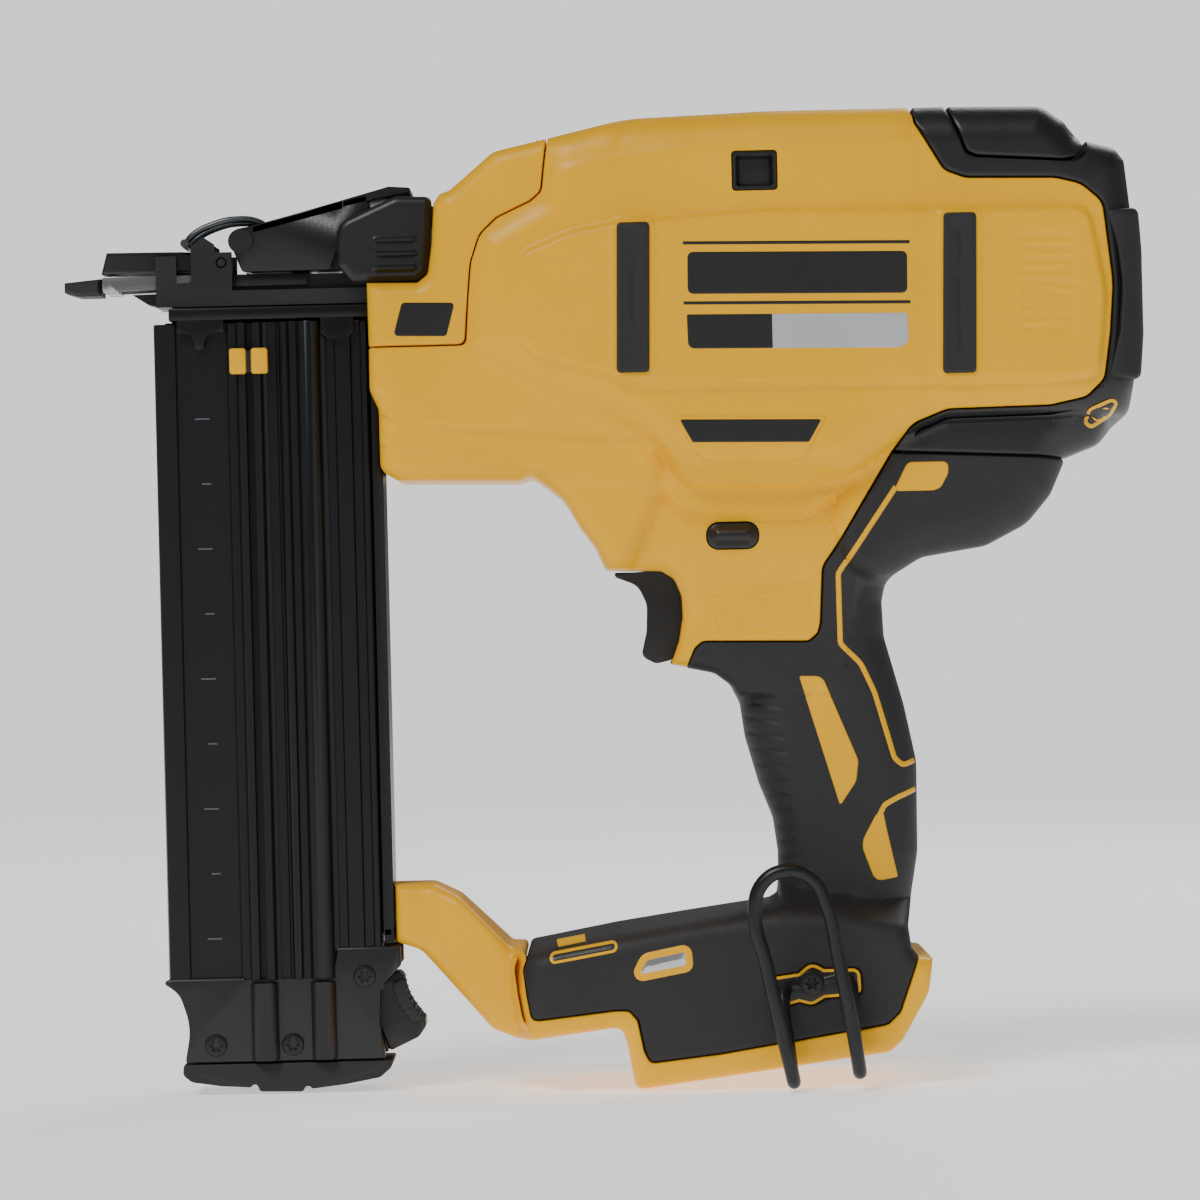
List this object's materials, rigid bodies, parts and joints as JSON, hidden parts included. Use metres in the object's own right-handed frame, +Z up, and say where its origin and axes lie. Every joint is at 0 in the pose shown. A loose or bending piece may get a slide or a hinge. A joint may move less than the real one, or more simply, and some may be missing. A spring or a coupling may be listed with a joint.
{
  "type": "cordless brad nailer",
  "caption": "Cordless brad nailer with a yellow and black body, pistol grip on a battery foot, upright nail magazine, nose latch and belt hook.",
  "frame": {"origin": "middle of the bounding box on the surface the tool stands on, between the magazine's end and the foot", "axes": "+Z up along the magazine, +X back along the drive line from the nose to the rear cap, +Y to the tool's own right side, away from the belt hook"},
  "size_m": [0.3078, 0.0944, 0.2762],
  "materials": {
    "yellow_housing": "warm yellow moulded glass-filled plastic, fine spark texture",
    "black_rubber": "soft black overmoulded rubber",
    "black_plastic": "black moulded plastic, satin",
    "yellow_trim": "yellow moulded indicator",
    "clear_lens": "clear lamp lens",
    "black_steel": "black oxide and powder-coated steel",
    "bright_steel": "bright ground steel",
    "dark_steel": "darkened steel",
    "black_aluminium": null,
    "cast_aluminium": "machined cast aluminium",
    "copper_winding": null,
    "contact_brass": "brass contacts"
  },
  "bodies": {
    "tool": {"housing_left": "yellow_housing", "housing_right": "yellow_housing", "front_cover": "yellow_housing", "rear_cap": "black_plastic", "rear_pad": "black_rubber", "bumper_strip_front_left": "black_rubber", "bumper_strip_front_right": "black_rubber", "bumper_strip_rear_left": "black_rubber", "bumper_strip_rear_right": "black_rubber", "window_insert_left": "black_plastic", "window_insert_right": "black_plastic", "grip_left": "black_rubber", "grip_right": "black_rubber", "trigger_switch": "black_plastic", "lamp_lens_left": "clear_lens", "lamp_lens_right": "clear_lens", "battery_terminal_block": "black_plastic", "battery_terminal_blades": "contact_brass", "controller_board": "black_plastic", "belt_hook": "black_steel", "belt_hook_screw": "dark_steel", "magazine_rail": "black_aluminium", "nose_plate": "black_steel", "nose_block": "black_steel", "latch_pin": "bright_steel", "nose_cap": "black_plastic", "drive_frame": "cast_aluminium", "motor_stator": "copper_winding", "guide_rod_left": "bright_steel", "guide_rod_right": "bright_steel", "driver_bumper": "black_rubber", "solenoid": "black_steel"},
    "trigger": {"trigger": "black_plastic"},
    "lock_off": {"lock_off_button": "black_plastic"},
    "mode_selector": {"mode_selector": "yellow_trim"},
    "stall_lever": {"stall_release_lever": "black_plastic"},
    "depth_wheel": {"depth_wheel": "black_plastic"},
    "depth_carriage": {"depth_carriage": "dark_steel"},
    "contact_trip": {"contact_trip": "bright_steel", "no_mar_tip": "black_rubber"},
    "latch": {"latch_lever": "black_steel"},
    "bail": {"wire_bail": "dark_steel"},
    "door": {"nose_door": "black_steel"},
    "magazine": {"magazine_cover": "black_aluminium", "magazine_end_cap": "black_plastic", "magazine_base_pad": "black_rubber", "magazine_screw_1": "dark_steel", "magazine_screw_2": "dark_steel", "magazine_screw_3": "dark_steel"},
    "magazine_latch": {"magazine_latch": "black_plastic"},
    "pusher": {"nail_pusher": "dark_steel", "pusher_knob": "yellow_trim"},
    "driver": {"driver": "bright_steel"},
    "flywheel": {"motor_flywheel": "dark_steel", "motor_shaft": "bright_steel"},
    "pinch_arm": {"pinch_arm": "dark_steel"},
    "pinch_roller": {"pinch_roller": "bright_steel"}
  },
  "joints": [
    {"name": "trigger_pull", "type": "hinge", "parent": "tool", "child": "trigger", "pos_m": [0.019, 0.0088, 0.1496], "axis": [0, -1, 0], "range_deg": [0, 9], "stiffness_Nm_per_rad": 0.9, "springref_deg": -8.59},
    {"name": "lock_off_slide", "type": "slide", "parent": "tool", "child": "lock_off", "axis": [0, 1, 0], "range_m": [-0.0022, 0.0022]},
    {"name": "mode_selector_slide", "type": "slide", "parent": "tool", "child": "mode_selector", "axis": [0.986, 0, 0.1668], "range_m": [0, 0.006]},
    {"name": "stall_lever_lift", "type": "hinge", "parent": "tool", "child": "stall_lever", "pos_m": [0.134, 0.0088, 0.2634], "axis": [0, 1, 0], "range_deg": [0, 40]},
    {"name": "depth_wheel_turn", "type": "hinge", "parent": "tool", "child": "depth_wheel", "pos_m": [-0.0794, 0.0324, 0.2385], "axis": [1, 0, 0], "range_deg": [0, 720]},
    {"name": "depth_carriage_slide", "type": "slide", "parent": "tool", "child": "depth_carriage", "axis": [1, 0, 0], "range_m": [-0.004, 0]},
    {"name": "contact_trip_slide", "type": "slide", "parent": "depth_carriage", "child": "contact_trip", "axis": [1, 0, 0], "range_m": [0, 0.0075], "stiffness_N_per_m": 700, "springref_m": -0.004},
    {"name": "latch_lift", "type": "hinge", "parent": "tool", "child": "latch", "pos_m": [-0.1026, 0.0088, 0.2435], "axis": [0, -1, 0], "range_deg": [0, 75]},
    {"name": "bail_swing", "type": "hinge", "parent": "latch", "child": "bail", "pos_m": [-0.0934, 0.0088, 0.2461], "axis": [0, -1, 0], "range_deg": [-150, 0]},
    {"name": "nose_door_lift", "type": "hinge", "parent": "tool", "child": "door", "pos_m": [-0.1084, 0.0088, 0.2376], "axis": [0, 1, 0], "range_deg": [0, 70]},
    {"name": "magazine_slide", "type": "slide", "parent": "tool", "child": "magazine", "axis": [0, 0, -1], "range_m": [0, 0.15]},
    {"name": "magazine_latch_press", "type": "hinge", "parent": "magazine", "child": "magazine_latch", "pos_m": [-0.064, 0.0088, 0.0305], "axis": [0, 1, 0], "range_deg": [0, 10], "stiffness_Nm_per_rad": 0.5, "springref_deg": -6.88},
    {"name": "pusher_slide", "type": "slide", "parent": "magazine", "child": "pusher", "axis": [0, 0, -1], "range_m": [0, 0.14], "stiffness_N_per_m": 20, "springref_m": -0.05},
    {"name": "driver_stroke", "type": "slide", "parent": "tool", "child": "driver", "axis": [-1, 0, 0], "range_m": [0, 0.0744], "stiffness_N_per_m": 60, "springref_m": -0.03},
    {"name": "flywheel_spin", "type": "hinge", "parent": "tool", "child": "flywheel", "pos_m": [0.039, 0.0088, 0.201], "axis": [0, 1, 0], "continuous": true},
    {"name": "pinch_arm_lift", "type": "hinge", "parent": "tool", "child": "pinch_arm", "pos_m": [0.062, 0.0088, 0.253], "axis": [0, 1, 0], "range_deg": [0, 6], "stiffness_Nm_per_rad": 1, "springref_deg": -5.73},
    {"name": "pinch_roller_spin", "type": "hinge", "parent": "pinch_arm", "child": "pinch_roller", "pos_m": [0.039, 0.0088, 0.2458], "axis": [0, 1, 0], "continuous": true}
  ],
  "couplings": [
    {"joint": "depth_wheel_turn", "follows": "depth_carriage_slide", "rad_per_m": -3141.6},
    {"joint": "bail_swing", "follows": "latch_lift", "ratio": -2},
    {"joint": "nose_door_lift", "follows": "latch_lift", "ratio": 0.93333}
  ]
}
